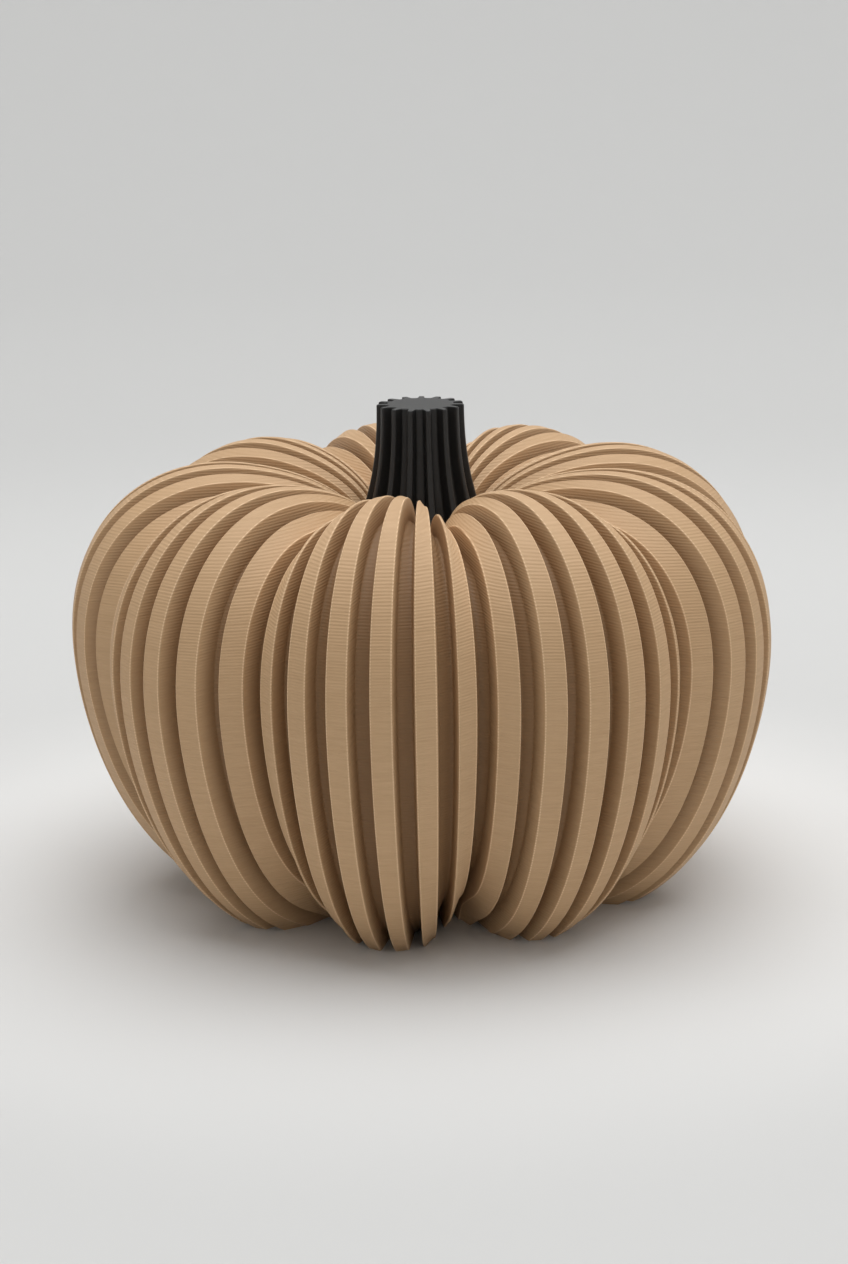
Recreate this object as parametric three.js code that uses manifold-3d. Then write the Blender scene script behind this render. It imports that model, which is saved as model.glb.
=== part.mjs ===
// Ribbed decorative pumpkin: a printed plastic body with nine lobes and 54 box ribs,
// and a black fluted stem that stands in a round seat in the crown.
// Millimetres, +Z up. The origin is the centre of the flat foot, and one lobe faces -Y.

import * as THREE from 'three';
import { mergeVertices } from 'three/addons/utils/BufferGeometryUtils.js';
import Module from 'manifold-3d';

// Body: overall size
const BODY_RADIUS = 63;
const WIDEST_HEIGHT = 46.9;
const CREST_RADIUS = 35;
const CREST_HEIGHT = 77.4;
const FUNNEL_RADIUS = 8.4;
const FUNNEL_HEIGHT = 59.3;

// Body: lobes and ribs
const LOBES = 9;
const RIBS_PER_LOBE = 6;
const RIB_FACE_DEGREES = 3.4;
const GROOVE_FLOOR_DEGREES = 2.6;
const GROOVE_DEPTH = 4.2;
const VALLEY_SHRINK = 0.25;
const LOBE_SQUARENESS = 2.4;

// Where the lobes die out: in the middle of the foot, over this share of the underside, and down
// the crown funnel, at whose end this share of the valley depth is left
const FOOT_FADE = 0.6;
const FUNNEL_VALLEY_SHARE = 0.55;

// Rings of points along each stretch of the profile
const UNDERSIDE_STEPS = 4;
const FLANK_STEPS = 7;
const SHOULDER_STEPS = 7;
const FUNNEL_STEPS = 5;

// Seat in the crown that takes the foot of the stem
const SEAT_HEIGHT = 61.2;
const SEAT_RADIUS = 18;
const SEAT_DEPTH = 9;
const SOCKET_RADIUS = 11.55;
const SOCKET_TOP = 90;
const ROUND_SIDES = 48;

// Stem
const STEM_TOP = 87.5;
const STEM_TOP_RADIUS = 7.75;
const STEM_FOOT_RADIUS = 11.2;
const STEM_FLARE_START = 66.5;
const STEM_TEETH = 15;
const STEM_TOOTH_DEGREES = 7;
const STEM_FLUTE_FLOOR_DEGREES = 12;
const STEM_FLUTE_DEPTH = 0.21;
const STEM_FLUTE_HOLLOW = 0.03;
const STEM_TURN_DEGREES = -4;
const STEM_STEPS = 10;
const FIT_GAP = 0.3;

const wasm = await Module();
wasm.setup();

// A point at a radius, height and bearing. Bearing 0 is -Y and grows towards +X.
function place(radius, height, bearingDegrees) {
  const bearing = THREE.MathUtils.degToRad(bearingDegrees);
  return [radius * Math.sin(bearing), -radius * Math.cos(bearing), height];
}

// A closed skin from rings of points, lowest first, each ring running the same way round,
// with a flat or coned cap to the axis at both ends.
function skin(rings) {
  const columns = rings[0].length;
  const positions = rings.flat(2);
  const triangles = [];
  for (let row = 0; row + 1 < rings.length; row += 1) {
    for (let column = 0; column < columns; column += 1) {
      const next = (column + 1) % columns;
      const a = row * columns + column;
      const b = row * columns + next;
      const c = a + columns;
      const d = b + columns;
      triangles.push(a, b, d, a, d, c);
    }
  }
  const bottomCentre = positions.length / 3;
  const topCentre = bottomCentre + 1;
  const lastRow = (rings.length - 1) * columns;
  positions.push(0, 0, rings[0][0][2]);
  positions.push(0, 0, rings[rings.length - 1][0][2]);
  for (let column = 0; column < columns; column += 1) {
    const next = (column + 1) % columns;
    triangles.push(bottomCentre, next, column);
    triangles.push(topCentre, lastRow + column, lastRow + next);
  }
  const geometry = new THREE.BufferGeometry();
  geometry.setAttribute('position', new THREE.Float32BufferAttribute(positions, 3));
  geometry.setIndex(triangles);
  return geometry;
}

// Three.js geometry to a solid and back, for cutting and joining
function toSolid(geometry) {
  const plain = geometry.clone();
  plain.deleteAttribute('normal');
  plain.deleteAttribute('uv');
  const merged = mergeVertices(plain);
  const mesh = new wasm.Mesh({
    numProp: 3,
    vertProperties: new Float32Array(merged.attributes.position.array),
    triVerts: new Uint32Array(merged.index.array),
  });
  return new wasm.Manifold(mesh);
}

function toGeometry(solid) {
  const mesh = solid.getMesh();
  const geometry = new THREE.BufferGeometry();
  geometry.setAttribute('position', new THREE.Float32BufferAttribute(mesh.vertProperties, 3));
  geometry.setIndex([...mesh.triVerts]);
  geometry.computeVertexNormals();
  return geometry;
}

// An upright cylinder between two heights
function disc(radius, bottom, top) {
  const geometry = new THREE.CylinderGeometry(radius, radius, top - bottom, ROUND_SIDES);
  geometry.rotateX(Math.PI / 2);
  geometry.translate(0, 0, (bottom + top) / 2);
  return geometry;
}

// Crest line of a lobe, seen from the side: radius across, height up. It starts under the foot,
// rises over the flank and the shoulder, and falls into the crown funnel.
const underside = new THREE.CubicBezierCurve(
  new THREE.Vector2(17.7, -10.9),
  new THREE.Vector2(22.2, -10.3),
  new THREE.Vector2(26.7, -7),
  new THREE.Vector2(36.8, -2.3),
);
const flank = new THREE.CubicBezierCurve(
  new THREE.Vector2(36.8, -2.3),
  new THREE.Vector2(57.1, 7.1),
  new THREE.Vector2(BODY_RADIUS, 34.4),
  new THREE.Vector2(BODY_RADIUS, WIDEST_HEIGHT),
);
const shoulder = new THREE.CubicBezierCurve(
  new THREE.Vector2(BODY_RADIUS, WIDEST_HEIGHT),
  new THREE.Vector2(BODY_RADIUS, 65.7),
  new THREE.Vector2(51.3, CREST_HEIGHT),
  new THREE.Vector2(CREST_RADIUS, CREST_HEIGHT),
);
const funnel = new THREE.CubicBezierCurve(
  new THREE.Vector2(CREST_RADIUS, CREST_HEIGHT),
  new THREE.Vector2(30, CREST_HEIGHT),
  new THREE.Vector2(FUNNEL_RADIUS, 75),
  new THREE.Vector2(FUNNEL_RADIUS, FUNNEL_HEIGHT),
);

// Points along the crest line, each with its outward direction and the share of the
// valley depth that is left there: none in the middle of the foot, all of it on flank and shoulder.
function crestLine() {
  const stretches = [
    { curve: underside, steps: UNDERSIDE_STEPS, share: (t) => THREE.MathUtils.smoothstep(t, 0, FOOT_FADE) },
    { curve: flank, steps: FLANK_STEPS, share: () => 1 },
    { curve: shoulder, steps: SHOULDER_STEPS, share: () => 1 },
    { curve: funnel, steps: FUNNEL_STEPS, share: (t) => 1 - (1 - FUNNEL_VALLEY_SHARE) * t },
  ];
  const stations = [];
  stretches.forEach(({ curve, steps, share }, index) => {
    const first = index === 0 ? 0 : 1;
    for (let step = first; step <= steps; step += 1) {
      const t = step / steps;
      const along = curve.getTangent(t);
      stations.push({
        point: curve.getPoint(t),
        outward: new THREE.Vector2(along.y, -along.x),
        share: share(t),
      });
    }
  });
  return stations;
}

// Bearings of the four corners of every rib and the groove after it
function ribCorners() {
  const pitch = 360 / (LOBES * RIBS_PER_LOBE);
  const corners = [];
  for (let rib = 0; rib < LOBES * RIBS_PER_LOBE; rib += 1) {
    const middle = (rib + 0.5) * pitch;
    corners.push({ bearing: middle - RIB_FACE_DEGREES / 2, depth: 0 });
    corners.push({ bearing: middle + RIB_FACE_DEGREES / 2, depth: 0 });
    corners.push({ bearing: middle + (pitch - GROOVE_FLOOR_DEGREES) / 2, depth: GROOVE_DEPTH });
    corners.push({ bearing: middle + (pitch + GROOVE_FLOOR_DEGREES) / 2, depth: GROOVE_DEPTH });
  }
  return corners;
}

// How far a bearing lies from the crest of its lobe: 0 on the crest, 1 in the valley
function valleyShare(bearing) {
  const width = 360 / LOBES;
  const fromCrest = bearing - width * Math.round(bearing / width);
  return Math.abs(fromCrest) / (width / 2);
}

// The body is the crest line drawn in towards the middle of the lobe as the bearing nears a
// valley, and set back by the groove depth between the ribs.
function bodyGeometry() {
  const heart = new THREE.Vector2(CREST_RADIUS, WIDEST_HEIGHT);
  const corners = ribCorners();
  const rings = crestLine().map(({ point, outward, share }) => corners.map(({ bearing, depth }) => {
    const shrink = VALLEY_SHRINK * share * valleyShare(bearing) ** LOBE_SQUARENESS;
    const spot = point.clone().sub(heart).multiplyScalar(1 - shrink).add(heart);
    spot.addScaledVector(outward, -depth);
    return place(spot.x, spot.y, bearing);
  }));
  const above = new THREE.BoxGeometry(4 * BODY_RADIUS, 4 * BODY_RADIUS, 2 * CREST_HEIGHT);
  above.translate(0, 0, CREST_HEIGHT);
  const seat = disc(SEAT_RADIUS, SEAT_HEIGHT - SEAT_DEPTH, SEAT_HEIGHT);
  const socket = disc(SOCKET_RADIUS, SEAT_HEIGHT, SOCKET_TOP);
  const lobed = toSolid(skin(rings)).intersect(toSolid(above));
  return toGeometry(lobed.add(toSolid(seat)).subtract(toSolid(socket)));
}

// Outline of the stem at one height: box teeth with hollow flutes between them
function stemRing(radius, height) {
  const pitch = 360 / STEM_TEETH;
  const root = radius * (1 - STEM_FLUTE_DEPTH);
  const hollow = radius * (1 - STEM_FLUTE_DEPTH - STEM_FLUTE_HOLLOW);
  const ring = [];
  for (let tooth = 0; tooth < STEM_TEETH; tooth += 1) {
    const middle = STEM_TURN_DEGREES + tooth * pitch;
    ring.push(place(radius, height, middle - STEM_TOOTH_DEGREES / 2));
    ring.push(place(radius, height, middle + STEM_TOOTH_DEGREES / 2));
    ring.push(place(root, height, middle + (pitch - STEM_FLUTE_FLOOR_DEGREES) / 2));
    ring.push(place(hollow, height, middle + pitch / 2));
    ring.push(place(root, height, middle + (pitch + STEM_FLUTE_FLOOR_DEGREES) / 2));
  }
  return ring;
}

// The stem stands straight at the top, flares to its foot, and drops plainly into the socket
function stemGeometry() {
  const flare = new THREE.CubicBezierCurve(
    new THREE.Vector2(STEM_FOOT_RADIUS, STEM_FLARE_START),
    new THREE.Vector2(9, 73),
    new THREE.Vector2(STEM_TOP_RADIUS, 78),
    new THREE.Vector2(STEM_TOP_RADIUS, STEM_TOP),
  );
  const rings = [stemRing(STEM_FOOT_RADIUS, SEAT_HEIGHT + FIT_GAP)];
  for (let step = 0; step <= STEM_STEPS; step += 1) {
    const point = flare.getPoint(step / STEM_STEPS);
    rings.push(stemRing(point.x, point.y));
  }
  const geometry = skin(rings);
  geometry.computeVertexNormals();
  return geometry;
}

const tanPlastic = new THREE.MeshStandardMaterial({ color: '#caa67d', roughness: 0.62, metalness: 0 });
const blackPlastic = new THREE.MeshStandardMaterial({ color: '#171717', roughness: 0.45, metalness: 0 });

const body = new THREE.Mesh(bodyGeometry(), tanPlastic);
body.name = 'body';

const stem = new THREE.Mesh(stemGeometry(), blackPlastic);
stem.name = 'stem';

const pumpkin = new THREE.Group();
pumpkin.add(body, stem);

export default pumpkin;
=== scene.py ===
# A decorative pumpkin printed in plastic: a matte tan body with nine lobes and 54 box ribs,
# and a black fluted stem that stands in the crown.
# Metres, +Z up, origin in the middle of the flat foot. Bearing 0 is -Y and grows towards +X.

import math

import bpy
import numpy as np
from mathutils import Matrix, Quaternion, Vector


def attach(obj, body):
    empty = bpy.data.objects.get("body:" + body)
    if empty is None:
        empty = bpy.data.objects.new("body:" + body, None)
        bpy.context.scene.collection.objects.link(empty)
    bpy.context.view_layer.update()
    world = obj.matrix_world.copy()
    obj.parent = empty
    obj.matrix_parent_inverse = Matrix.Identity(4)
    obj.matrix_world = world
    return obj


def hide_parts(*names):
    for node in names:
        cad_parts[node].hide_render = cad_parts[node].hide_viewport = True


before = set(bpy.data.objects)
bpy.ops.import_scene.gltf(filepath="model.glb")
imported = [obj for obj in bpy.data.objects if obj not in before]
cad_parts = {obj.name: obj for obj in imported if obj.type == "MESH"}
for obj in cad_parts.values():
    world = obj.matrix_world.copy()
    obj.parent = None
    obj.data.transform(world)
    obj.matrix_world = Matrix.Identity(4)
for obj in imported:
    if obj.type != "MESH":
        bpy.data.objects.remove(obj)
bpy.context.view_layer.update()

MM = 0.001


# Camera.
# A long lens half a metre from the pumpkin, a little to its right and looking slightly down.
# It stands about a degree off level, so the pumpkin leans to the left in the picture.

CAMERA_DISTANCE = 531 * MM
CAMERA_BEARING = math.radians(9.85)
CAMERA_HEIGHT = 180.5 * MM
AIM_HEIGHT = 45.85 * MM
CAMERA_ROLL = math.radians(-0.93)
SENSOR_WIDTH = 36.0
FOCAL_LENGTH = 129.3

lens = bpy.data.cameras.new("studio_camera")
lens.sensor_fit = "HORIZONTAL"
lens.sensor_width = SENSOR_WIDTH
lens.lens = FOCAL_LENGTH
camera = bpy.data.objects.new("studio_camera", lens)
bpy.context.scene.collection.objects.link(camera)
camera.location = (
    CAMERA_DISTANCE * math.sin(CAMERA_BEARING),
    -CAMERA_DISTANCE * math.cos(CAMERA_BEARING),
    CAMERA_HEIGHT,
)
line_of_sight = Vector((0, 0, AIM_HEIGHT)) - camera.location
level_camera = line_of_sight.to_track_quat("-Z", "Y")
camera.rotation_mode = "QUATERNION"
camera.rotation_quaternion = level_camera @ Quaternion((0, 0, 1), CAMERA_ROLL)
bpy.context.scene.camera = camera


# Studio.
# A pale floor that curves up into a wall on every side, so each view has the same plain backdrop.
# One large soft box hangs above and a little behind; the walls and the air give the rest.

FLOOR_RADIUS = 0.80
CURVE_RADIUS = 0.60
WALL_TOP = 1.90
CURVE_STEPS = 24
STUDIO_SIDES = 96
# The palest grey is a painted pool of light under the pumpkin; the far grey is painted shade far off.
STUDIO_PAINTED_LIGHT_POOL = "#e3e3e2"
STUDIO_GREY = "#d0d0cf"
STUDIO_PAINTED_FAR_SHADE = "#c5c5c4"


def linear(hex_colour):
    """sRGB hex to linear RGBA: the sRGB transfer curve undone for each channel."""
    channels = [int(hex_colour[i : i + 2], 16) / 255 for i in (1, 3, 5)]
    return [c / 12.92 if c <= 0.04045 else ((c + 0.055) / 1.055) ** 2.4 for c in channels] + [1.0]


def add_node(tree, kind, settings, inputs):
    """One shader node: settings are its own properties, inputs are plain values or feeding sockets."""
    node = tree.nodes.new(kind)
    for name, value in settings.items():
        setattr(node, name, value)
    for name, value in inputs.items():
        if isinstance(value, bpy.types.NodeSocket):
            tree.links.new(value, node.inputs[name])
        else:
            node.inputs[name].default_value = value
    return node


def grid_object(name, rings, bottom, top, creases):
    """
    A closed surface from a rows x columns x 3 array of rings, lowest first, each running
    anticlockwise seen from above. Each ring joins the next with quads, the last column joins the
    first, and the end rings close to the points bottom and top; with None for bottom, that end
    stays open. The shading is smooth but for the rings whose numbers are in creases.
    """
    rows, columns, _ = rings.shape
    row = np.arange(rows - 1)[:, None] * columns
    column = np.arange(columns)[None, :]
    after = (column + 1) % columns
    quads = np.stack([row + column, row + after, row + after + columns, row + column + columns], -1)
    faces = quads.reshape(-1, 4).tolist()
    points = [rings.reshape(-1, 3)]
    spare = rows * columns
    if bottom is not None:
        fan = np.stack([np.full(columns, spare), after[0], column[0]], -1)
        faces += fan.tolist()
        points.append(np.array([bottom]))
        spare += 1
    last = (rows - 1) * columns
    fan = np.stack([np.full(columns, spare), last + column[0], last + after[0]], -1)
    faces += fan.tolist()
    points.append(np.array([top]))
    mesh = bpy.data.meshes.new(name)
    mesh.from_pydata(np.concatenate(points).tolist(), [], faces)
    mesh.shade_smooth()
    ends = np.empty(2 * len(mesh.edges), dtype=np.int32)
    mesh.edges.foreach_get("vertices", ends)
    ring_of = ends.reshape(-1, 2) // columns
    sharp = (ring_of[:, 0] == ring_of[:, 1]) & np.isin(ring_of[:, 0], creases)
    mesh.attributes.new("sharp_edge", "BOOLEAN", "EDGE").data.foreach_set("value", sharp)
    made = bpy.data.objects.new(name, mesh)
    bpy.context.scene.collection.objects.link(made)
    return made


def turned(radius, height, sides):
    """A profile turned about the axis: each (radius, height) pair is carried round in a circle."""
    bearing = np.linspace(0, 2 * np.pi, sides, endpoint=False)[None, :]
    radius = np.asarray(radius)[:, None]
    height = np.asarray(height)[:, None] + 0 * bearing
    return np.stack([radius * np.sin(bearing), -radius * np.cos(bearing), height], -1)


# The profile runs from the top of the wall down to the floor, so that its faces look inwards.
curve_angle = np.linspace(0, np.pi / 2, CURVE_STEPS)
wall_radius = FLOOR_RADIUS + CURVE_RADIUS * np.cos(curve_angle)
wall_height = CURVE_RADIUS * (1 - np.sin(curve_angle))
studio_rings = turned(
    np.concatenate([[FLOOR_RADIUS + CURVE_RADIUS], wall_radius]),
    np.concatenate([[WALL_TOP], wall_height]),
    STUDIO_SIDES,
)
studio = grid_object("studio_floor", studio_rings, None, (0, 0, 0), [])

# Studio floor: matt painted board, which shows no gloss and no grain. Its colour holds painted
# light: a paler pool under the pumpkin, a painted pool of light so that the floor stays light near
# its shadow, and painted shade that makes it a shade darker far off. Each coat is a colour and the
# distances where it begins and is full.
PAINTED_LIGHT_AND_SHADE_COATS = [
    (STUDIO_GREY, 60 * MM, 150 * MM),
    (STUDIO_PAINTED_FAR_SHADE, 230 * MM, 480 * MM),
]
painted_board = bpy.data.materials.new("matt_painted_board")
painted_board.use_nodes = True
board_shader = painted_board.node_tree.nodes["Principled BSDF"]
board_shader.inputs["Roughness"].default_value = 0.9
board_shader.inputs["Specular IOR Level"].default_value = 0.2
tree = painted_board.node_tree
board_place = add_node(tree, "ShaderNodeTexCoord", {}, {}).outputs["Object"]
from_middle = add_node(
    tree, "ShaderNodeVectorMath", {"operation": "LENGTH"}, {0: board_place}
).outputs["Value"]
board_colour = linear(STUDIO_PAINTED_LIGHT_POOL)
for coat, begins, full in PAINTED_LIGHT_AND_SHADE_COATS:
    cover = add_node(
        tree,
        "ShaderNodeMapRange",
        {"interpolation_type": "SMOOTHSTEP"},
        {"Value": from_middle, "From Min": begins, "From Max": full},
    ).outputs["Result"]
    board_colour = add_node(
        tree,
        "ShaderNodeMix",
        {"data_type": "RGBA"},
        {0: cover, 6: board_colour, 7: linear(coat)},
    ).outputs[2]
tree.links.new(board_colour, board_shader.inputs["Base Color"])
studio.data.materials.append(painted_board)

SOFT_BOX_PLACE = (0.10, 0.20, 1.50)
SOFT_BOX_WIDTH = 1.9
SOFT_BOX_WATTS = 28.5
light = bpy.data.lights.new("soft_box_above", "AREA")
light.shape = "SQUARE"
light.size = SOFT_BOX_WIDTH
light.energy = SOFT_BOX_WATTS
soft_box = bpy.data.objects.new("soft_box_above", light)
bpy.context.scene.collection.objects.link(soft_box)
soft_box.location = SOFT_BOX_PLACE
soft_box.rotation_mode = "QUATERNION"
soft_box.rotation_quaternion = (-Vector(SOFT_BOX_PLACE)).to_track_quat("-Z", "Y")

AIR_COLOUR = "#f4f6fa"
AIR_STRENGTH = 0.15
air = bpy.data.worlds.new("studio_air")
bpy.context.scene.world = air
air.use_nodes = True
air_shader = air.node_tree.nodes["Background"]
air_shader.inputs["Color"].default_value = linear(AIR_COLOUR)
air_shader.inputs["Strength"].default_value = AIR_STRENGTH
bpy.context.scene.view_settings.view_transform = "Standard"


# Body.
# One print in tan plastic: nine lobes, each with six upright box ribs that run from the flat foot
# over the shoulder into the crown. The printer lays it in level layers, from the foot upwards.

LOBES = 9
RIBS_PER_LOBE = 6
RIB_PITCH = 2 * np.pi / (LOBES * RIBS_PER_LOBE)
RIB_FACE = np.radians(3.4)
GROOVE_FLOOR = np.radians(2.6)
GROOVE_DEPTH = 4.2 * MM
RIB_ROUNDING = 0.30 * MM
FLOOR_ROUNDING = 0.35 * MM
VALLEY_SHRINK = 0.25
LOBE_SQUARENESS = 2.4
FOOT_FADE = 0.6
FUNNEL_VALLEY_SHARE = 0.55
HEART = np.array([35.0, 46.9]) * MM
SOCKET_RADIUS = 11.55 * MM
SEAT_HEIGHT = 61.2 * MM
BODY_ROWS = 104
FACE_MARGIN = 0.12 * MM
HALVINGS = 40
FINE_STEPS = 2000

# Where the body is narrower than this radius, the roundings are held back so that no two columns
# of points cross.
ROUNDING_RADIUS = 22 * MM

# The crest line of a lobe, seen from the side, as four cubic curves of (radius, height) points:
# underside, flank, shoulder and crown funnel.
CREST_CURVES = MM * np.array([
    [(17.7, -10.9), (22.2, -10.3), (26.7, -7.0), (36.8, -2.3)],
    [(36.8, -2.3), (57.1, 7.1), (63.0, 34.4), (63.0, 46.9)],
    [(63.0, 46.9), (63.0, 65.7), (51.3, 77.4), (35.0, 77.4)],
    [(35.0, 77.4), (30.0, 77.4), (8.4, 75.0), (8.4, 59.3)],
])
ABOVE_THE_FOOT = 1.5
TOP_OF_SHOULDER = 3.0
CREST_END = 4.0


def smoothstep(x):
    """3x^2 - 2x^3 of x held between 0 and 1."""
    x = np.clip(x, 0, 1)
    return x * x * (3 - 2 * x)


def crest(run):
    """
    Point and outward direction of the crest line at run, which goes 0 to 4 over its four curves.
    Point = sum of the cubic Bernstein weights times the curve's points; the direction is the
    tangent, its derivative, turned a quarter clockwise and brought to length 1.
    """
    which = np.clip(run.astype(int), 0, 3)
    t = (run - which)[..., None]
    a, b, c, d = np.moveaxis(CREST_CURVES[which], -2, 0)
    point = a * (1 - t) ** 3 + 3 * b * t * (1 - t) ** 2 + 3 * c * t * t * (1 - t) + d * t ** 3
    along = (b - a) * (1 - t) ** 2 + 2 * (c - b) * t * (1 - t) + (d - c) * t * t
    along /= np.linalg.norm(along, axis=-1, keepdims=True)
    return point, np.stack([along[..., 1], -along[..., 0]], -1)


def valley_share(run):
    """How much of the valley depth is left: it grows from 0 under the foot and fades in the funnel."""
    foot = smoothstep(run / FOOT_FADE)
    funnel = 1 - (1 - FUNNEL_VALLEY_SHARE) * np.clip(run - TOP_OF_SHOULDER, 0, 1)
    return foot * funnel


def body_point(run, bearing, depth):
    """
    Radius and height of the body at a run and a bearing. The crest point moves towards the heart of
    the lobe by a share that grows with the distance from the lobe's crest, raised to a power that
    keeps the lobe square, and then inwards by the depth of the groove.
    """
    lobe = 2 * np.pi / LOBES
    from_crest = np.abs(bearing - lobe * np.round(bearing / lobe)) / (lobe / 2)
    shrink = VALLEY_SHRINK * valley_share(run) * from_crest ** LOBE_SQUARENESS
    point, outward = crest(run)
    spot = HEART + (point - HEART) * (1 - shrink[..., None])
    return spot - outward * depth[..., None]


def crossing(inside, low, high):
    """Halves the span between low, where inside holds, and high, where it doesn't, until they meet."""
    for _ in range(HALVINGS):
        middle = (low + high) / 2
        holds = inside(middle)
        low = np.where(holds, middle, low)
        high = np.where(holds, high, middle)
    return low


# Section of one rib from its middle to the middle of the groove after it, as an angle, a further
# distance along the surface and a depth: the flat face, the rounded edge, the wall, the hollow
# where the wall meets the groove floor, and the middle of the floor. The hollow does with three of
# the four points that the edge has.
quarter = np.radians([0, 30, 60, 90])
rib_edge = [
    (RIB_FACE / 2, -RIB_ROUNDING * (1 - np.sin(q)), RIB_ROUNDING * (1 - np.cos(q))) for q in quarter
]
floor_edge = [
    (
        (RIB_PITCH - GROOVE_FLOOR) / 2,
        FLOOR_ROUNDING * (1 - np.cos(q)),
        GROOVE_DEPTH - FLOOR_ROUNDING * (1 - np.sin(q)),
    )
    for q in quarter[[0, 1, 3]]
]
face_margin = (RIB_FACE / 2, -RIB_ROUNDING - FACE_MARGIN, 0.0)
half_rib = np.array([face_margin, *rib_edge, *floor_edge])
groove_middle = np.array([(RIB_PITCH / 2, 0.0, GROOVE_DEPTH)])
other_half = half_rib[::-1] * [-1, -1, 1]
one_rib = np.concatenate([other_half, half_rib, groove_middle])

rib_middles = (np.arange(LOBES * RIBS_PER_LOBE) + 0.5) * RIB_PITCH
column_angle = (rib_middles[:, None] + one_rib[None, :, 0]).ravel()[None, :]
column_shift = np.tile(one_rib[:, 1], len(rib_middles))[None, :]
column_depth = np.tile(one_rib[:, 2], len(rib_middles))[None, :]

# Each column starts where it leaves the table and ends at the seat or at the stem's socket.
no_run = np.zeros_like(column_angle)


def below_the_table(run):
    """True where the underside lies lower than the table and is cut away."""
    return body_point(run, column_angle, column_depth)[..., 1] < 0


def in_the_open(run):
    """True where the crown lies outside the stem's socket and above its seat."""
    spot = body_point(run, column_angle, column_depth)
    return (spot[..., 0] > SOCKET_RADIUS) & (spot[..., 1] > SEAT_HEIGHT)


foot_run = crossing(below_the_table, no_run, no_run + ABOVE_THE_FOOT)
crown_run = crossing(in_the_open, no_run + TOP_OF_SHOULDER, no_run + CREST_END)

# Rows lie at even steps of length along the crest line between those two ends.
fine_run = np.linspace(0, CREST_END, FINE_STEPS)
fine_points, _ = crest(fine_run)
steps = np.linalg.norm(np.diff(fine_points, axis=0), axis=1)
length_there = np.concatenate([[0], np.cumsum(steps)])
foot_length = np.interp(foot_run, fine_run, length_there)
crown_length = np.interp(crown_run, fine_run, length_there)
up = np.linspace(0, 1, BODY_ROWS)[:, None]
row_run = np.interp(foot_length + (crown_length - foot_length) * up, length_there, fine_run)
row_run[0] = foot_run
row_run[-1] = crown_run

spot = body_point(row_run, column_angle + 0 * row_run, column_depth + 0 * row_run)
radius, height = spot[..., 0], spot[..., 1]
height[0] = 0
bearing = column_angle + column_shift / np.maximum(radius, ROUNDING_RADIUS)
body_rings = np.stack([radius * np.sin(bearing), -radius * np.cos(bearing), height], -1)
seat_ring = np.stack(
    [SOCKET_RADIUS * np.sin(bearing[-1]), -SOCKET_RADIUS * np.cos(bearing[-1])], -1
)
seat_ring = np.concatenate([seat_ring, np.full_like(seat_ring[:, :1], SEAT_HEIGHT)], -1)
body_rings = np.concatenate([body_rings, seat_ring[None]])
table_ring, crown_ring = 0, BODY_ROWS - 1
body = grid_object(
    "printed_body",
    body_rings,
    (0, 0, 0),
    (0, 0, SEAT_HEIGHT),
    [table_ring, crown_ring, crown_ring + 1],
)

# Two values for the painted shade and the painted highlight: how deep a point lies in a groove, and
# how near it is to a rib's edge.
# The two points that close the mesh, under the foot and in the seat, get 0.
edge_nearness = np.zeros(len(one_rib))
edge_nearness[np.isclose(one_rib[:, 2], RIB_ROUNDING * (1 - np.cos(quarter[1])))] = 1.0
for value_name, along_ring in (
    ("painted_groove_shade", column_depth[0] / GROOVE_DEPTH),
    ("painted_edge_highlight", np.tile(edge_nearness, len(rib_middles))),
):
    every_point = np.concatenate([np.tile(along_ring, len(body_rings)), [0, 0]])
    values = body.data.attributes.new(value_name, "FLOAT", "POINT")
    values.data.foreach_set("value", every_point)

# Matte PLA, printed in layers of 0.2 mm: broad soft gloss, fine level lines, and faint bands where
# the plastic ran a little thicker or thinner.
matte_pla = bpy.data.materials.new("matte_tan_pla_printed")
matte_pla.use_nodes = True
tree = matte_pla.node_tree
shader = tree.nodes["Principled BSDF"]
shader.inputs["Roughness"].default_value = 0.6
shader.inputs["IOR"].default_value = 1.46

place = add_node(tree, "ShaderNodeTexCoord", {}, {}).outputs["Object"]
height_axis = add_node(tree, "ShaderNodeSeparateXYZ", {}, {"Vector": place}).outputs["Z"]

# Lines wander up and down by a twentieth of a millimetre, as the beads of a real print do.
WANDER = 0.10 * MM
WANDERS_PER_METRE = 260.0
wander = add_node(
    tree, "ShaderNodeTexNoise", {}, {"Vector": place, "Scale": WANDERS_PER_METRE, "Detail": 1.0}
).outputs["Fac"]
wandering_height = add_node(
    tree, "ShaderNodeMath", {"operation": "MULTIPLY_ADD"}, {0: wander, 1: WANDER, 2: height_axis}
).outputs[0]

# A layer of 0.2 mm is finer than a pixel, so a line stands for two and a half layers.
LINE_PITCH = 0.5 * MM
line_phase = add_node(
    tree,
    "ShaderNodeMath",
    {"operation": "MULTIPLY"},
    {0: wandering_height, 1: 2 * math.pi / LINE_PITCH},
).outputs[0]
lines = add_node(tree, "ShaderNodeMath", {"operation": "SINE"}, {0: line_phase}).outputs[0]

# Streaks some 6 mm long and 0.4 mm high, from the flow of the plastic in each layer
STREAKS_PER_METRE = (170, 170, 2600)
streak_place = add_node(
    tree, "ShaderNodeMapping", {}, {"Vector": place, "Scale": STREAKS_PER_METRE}
).outputs[0]
streaks = add_node(
    tree, "ShaderNodeTexNoise", {}, {"Vector": streak_place, "Scale": 1.0, "Detail": 2.0}
).outputs["Fac"]

# Broad faint clouds in the colour, some 25 mm across and half as strong as the streaks
CLOUDS_PER_METRE = 40.0
CLOUD_SHARE = 0.5
clouds = add_node(
    tree, "ShaderNodeTexNoise", {}, {"Vector": place, "Scale": CLOUDS_PER_METRE, "Detail": 1.0}
).outputs["Fac"]
tone = add_node(
    tree, "ShaderNodeMath", {"operation": "MULTIPLY_ADD"}, {0: clouds, 1: CLOUD_SHARE, 2: streaks}
).outputs[0]

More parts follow.
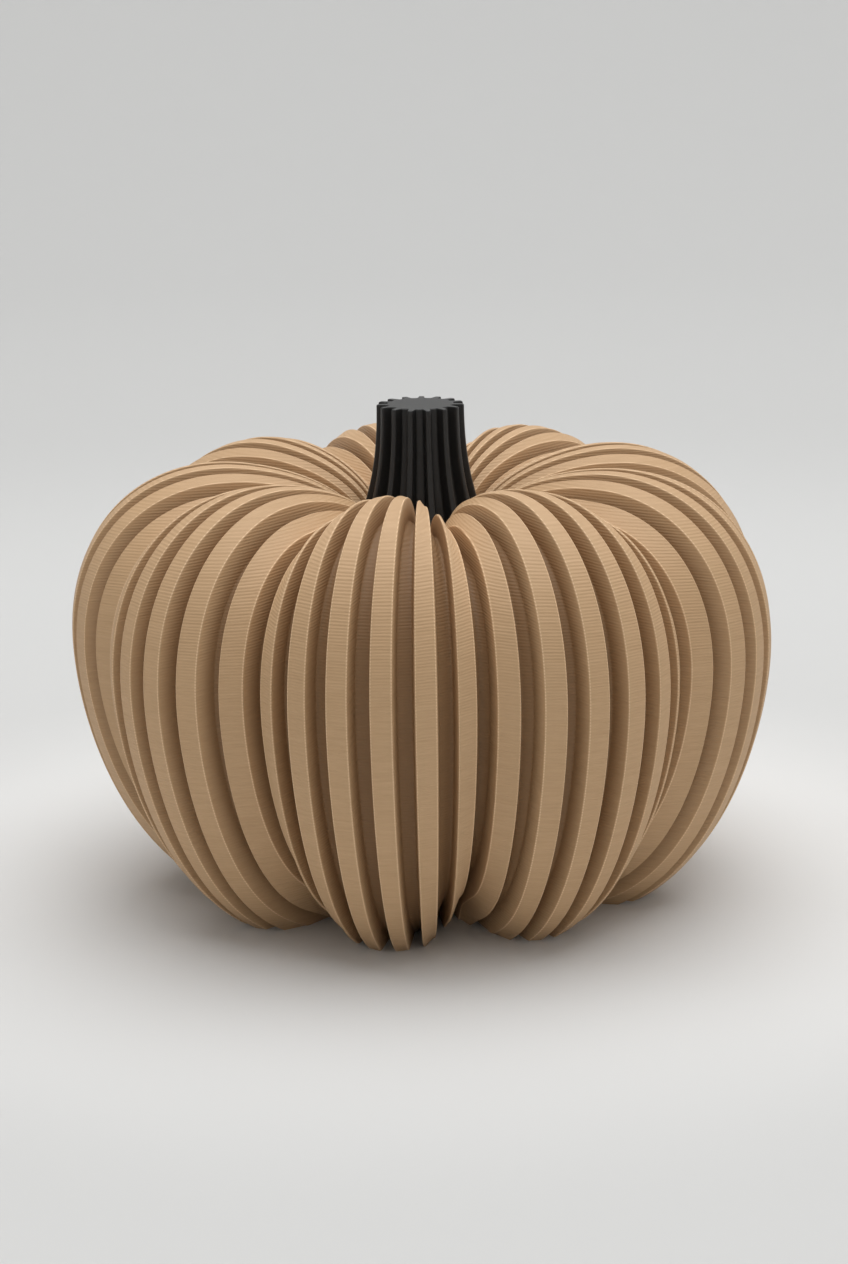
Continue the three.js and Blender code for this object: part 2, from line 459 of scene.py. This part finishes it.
# The sum of the two noises hardly leaves this range, which is stretched to 0 to 1.
TONE_LOW = 0.45
TONE_HIGH = 1.05
tone = add_node(
    tree, "ShaderNodeMapRange", {}, {"Value": tone, "From Min": TONE_LOW, "From Max": TONE_HIGH}
).outputs[0]
FACE_COLOUR = "#cca880"
FACE_STREAK = "#c29e76"
face_colour = add_node(
    tree,
    "ShaderNodeMix",
    {"data_type": "RGBA"},
    {0: tone, 6: linear(FACE_STREAK), 7: linear(FACE_COLOUR)},
).outputs[2]

# Painted shade: the hollow of a groove is painted darker and redder, for the shade that falls in it.
GROOVE_PAINTED_SHADE = "#9d7b57"
painted_groove_shade = add_node(
    tree, "ShaderNodeAttribute", {"attribute_name": "painted_groove_shade"}, {}
).outputs["Fac"]
colour = add_node(
    tree,
    "ShaderNodeMix",
    {"data_type": "RGBA"},
    {0: painted_groove_shade, 6: face_colour, 7: linear(GROOVE_PAINTED_SHADE)},
).outputs[2]

# Painted highlight: the edge of a rib, where each bead of plastic turns and catches the light, is
# painted paler and shows the beads one by one.
EDGE_PAINTED_HIGHLIGHT = "#f6d4ab"
painted_edge_highlight = add_node(tree, "ShaderNodeAttribute", {"attribute_name": "painted_edge_highlight"}, {}).outputs["Fac"]
HIGHLIGHT_BEAD_CONTRAST = 0.35
bead = add_node(
    tree,
    "ShaderNodeMath",
    {"operation": "MULTIPLY_ADD"},
    {0: lines, 1: HIGHLIGHT_BEAD_CONTRAST, 2: 1 - HIGHLIGHT_BEAD_CONTRAST},
).outputs[0]
beaded_edge_highlight = add_node(
    tree, "ShaderNodeMath", {"operation": "MULTIPLY"}, {0: painted_edge_highlight, 1: bead}
).outputs[0]
colour = add_node(
    tree,
    "ShaderNodeMix",
    {"data_type": "RGBA"},
    {0: beaded_edge_highlight, 6: colour, 7: linear(EDGE_PAINTED_HIGHLIGHT)},
).outputs[2]
tree.links.new(colour, shader.inputs["Base Color"])

# The relief is the streaks and, less strong, the lines.
RELIEF = 0.055 * MM
LINE_SHARE = 0.30
relief = add_node(
    tree, "ShaderNodeMath", {"operation": "MULTIPLY_ADD"}, {0: lines, 1: LINE_SHARE, 2: streaks}
).outputs[0]
bump = add_node(
    tree, "ShaderNodeBump", {}, {"Height": relief, "Strength": 1.0, "Distance": RELIEF}
).outputs[0]
tree.links.new(bump, shader.inputs["Normal"])

body.data.materials.append(matte_pla)
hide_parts("body")
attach(body, "root")


# Stem.
# A separate print in black plastic: a straight post with 15 box teeth and hollow flutes, which
# flares to a foot that drops into the round socket in the crown. Its top is flat.

STEM_TEETH = 15
STEM_TURN = np.radians(-4)
STEM_TOP = 87.5 * MM
STEM_FOOT = 61.5 * MM
FOOT_MIDDLE = 64.0 * MM
STEM_ROWS = 48

# Half a tooth and half a flute, as degrees from the tooth's middle and a share of the radius
TOOTH_SECTION = np.array([
    (0.0, 1.0), (2.3, 1.0), (2.9, 0.996), (3.3, 0.983), (3.6, 0.955), (4.4, 0.885),
    (5.3, 0.812), (5.8, 0.788), (6.8, 0.774), (9.0, 0.764), (12.0, 0.76),
])
other_side = TOOTH_SECTION[1:-1][::-1] * [-1, 1]
one_tooth = np.concatenate([other_side, TOOTH_SECTION])
tooth_middles = STEM_TURN + np.arange(STEM_TEETH) * 2 * np.pi / STEM_TEETH
stem_bearing = (tooth_middles[:, None] + np.radians(one_tooth[None, :, 0])).ravel()[None, :]
stem_share = np.tile(one_tooth[:, 1], STEM_TEETH)[None, :]

# Side of the stem: a cubic curve from the foot's flare to the straight top, with a plain foot
FLARE = MM * np.array([(11.2, 66.5), (9.0, 73.0), (7.75, 78.0), (7.75, 87.5)])
t = np.linspace(0, 1, STEM_ROWS)[:, None]
a, b, c, d = FLARE
flare = a * (1 - t) ** 3 + 3 * b * t * (1 - t) ** 2 + 3 * c * t * t * (1 - t) + d * t ** 3
flare = flare[:-1]
plain_foot = np.array([(FLARE[0, 0], STEM_FOOT), (FLARE[0, 0], FOOT_MIDDLE)])

# Rounding of the top edge, as how far it lies in from the side and below the top
TOP_EDGE = MM * np.array([
    (0.0, 0.30), (0.02, 0.19), (0.09, 0.09), (0.19, 0.02), (0.30, 0.0), (0.55, 0.0), (2.0, 0.0),
])
side = np.concatenate([plain_foot, flare])
side_rings = side[:, :1] * stem_share
edge_rings = FLARE[3, 0] * stem_share - TOP_EDGE[:, :1]
stem_radius = np.concatenate([side_rings, edge_rings])
stem_height = np.concatenate([side[:, 1], STEM_TOP - TOP_EDGE[:, 1]])[:, None] + 0 * stem_radius
stem_angle = stem_bearing + 0 * stem_radius
stem_rings = np.stack(
    [stem_radius * np.sin(stem_angle), -stem_radius * np.cos(stem_angle), stem_height], -1
)
stem = grid_object("printed_stem", stem_rings, (0, 0, STEM_FOOT), (0, 0, STEM_TOP), [0])

# Satin black PLA: darker and a little glossier than the body, so that its flat top shows a sheen.
STEM_COLOUR = "#232323"
satin_pla = bpy.data.materials.new("satin_black_pla_printed")
satin_pla.use_nodes = True
tree = satin_pla.node_tree
shader = tree.nodes["Principled BSDF"]
shader.inputs["Base Color"].default_value = linear(STEM_COLOUR)
shader.inputs["Roughness"].default_value = 0.38
shader.inputs["IOR"].default_value = 1.46
place = add_node(tree, "ShaderNodeTexCoord", {}, {}).outputs["Object"]
STEM_STREAKS_PER_METRE = (120, 120, 1600)
STEM_RELIEF = 0.06 * MM
stem_streak_place = add_node(
    tree, "ShaderNodeMapping", {}, {"Vector": place, "Scale": STEM_STREAKS_PER_METRE}
).outputs[0]
stem_streaks = add_node(
    tree, "ShaderNodeTexNoise", {}, {"Vector": stem_streak_place, "Scale": 1.0, "Detail": 3.0}
).outputs["Fac"]
bump = add_node(
    tree, "ShaderNodeBump", {}, {"Height": stem_streaks, "Strength": 1.0, "Distance": STEM_RELIEF}
).outputs[0]
tree.links.new(bump, shader.inputs["Normal"])
stem.data.materials.append(satin_pla)
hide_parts("stem")
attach(stem, "root")
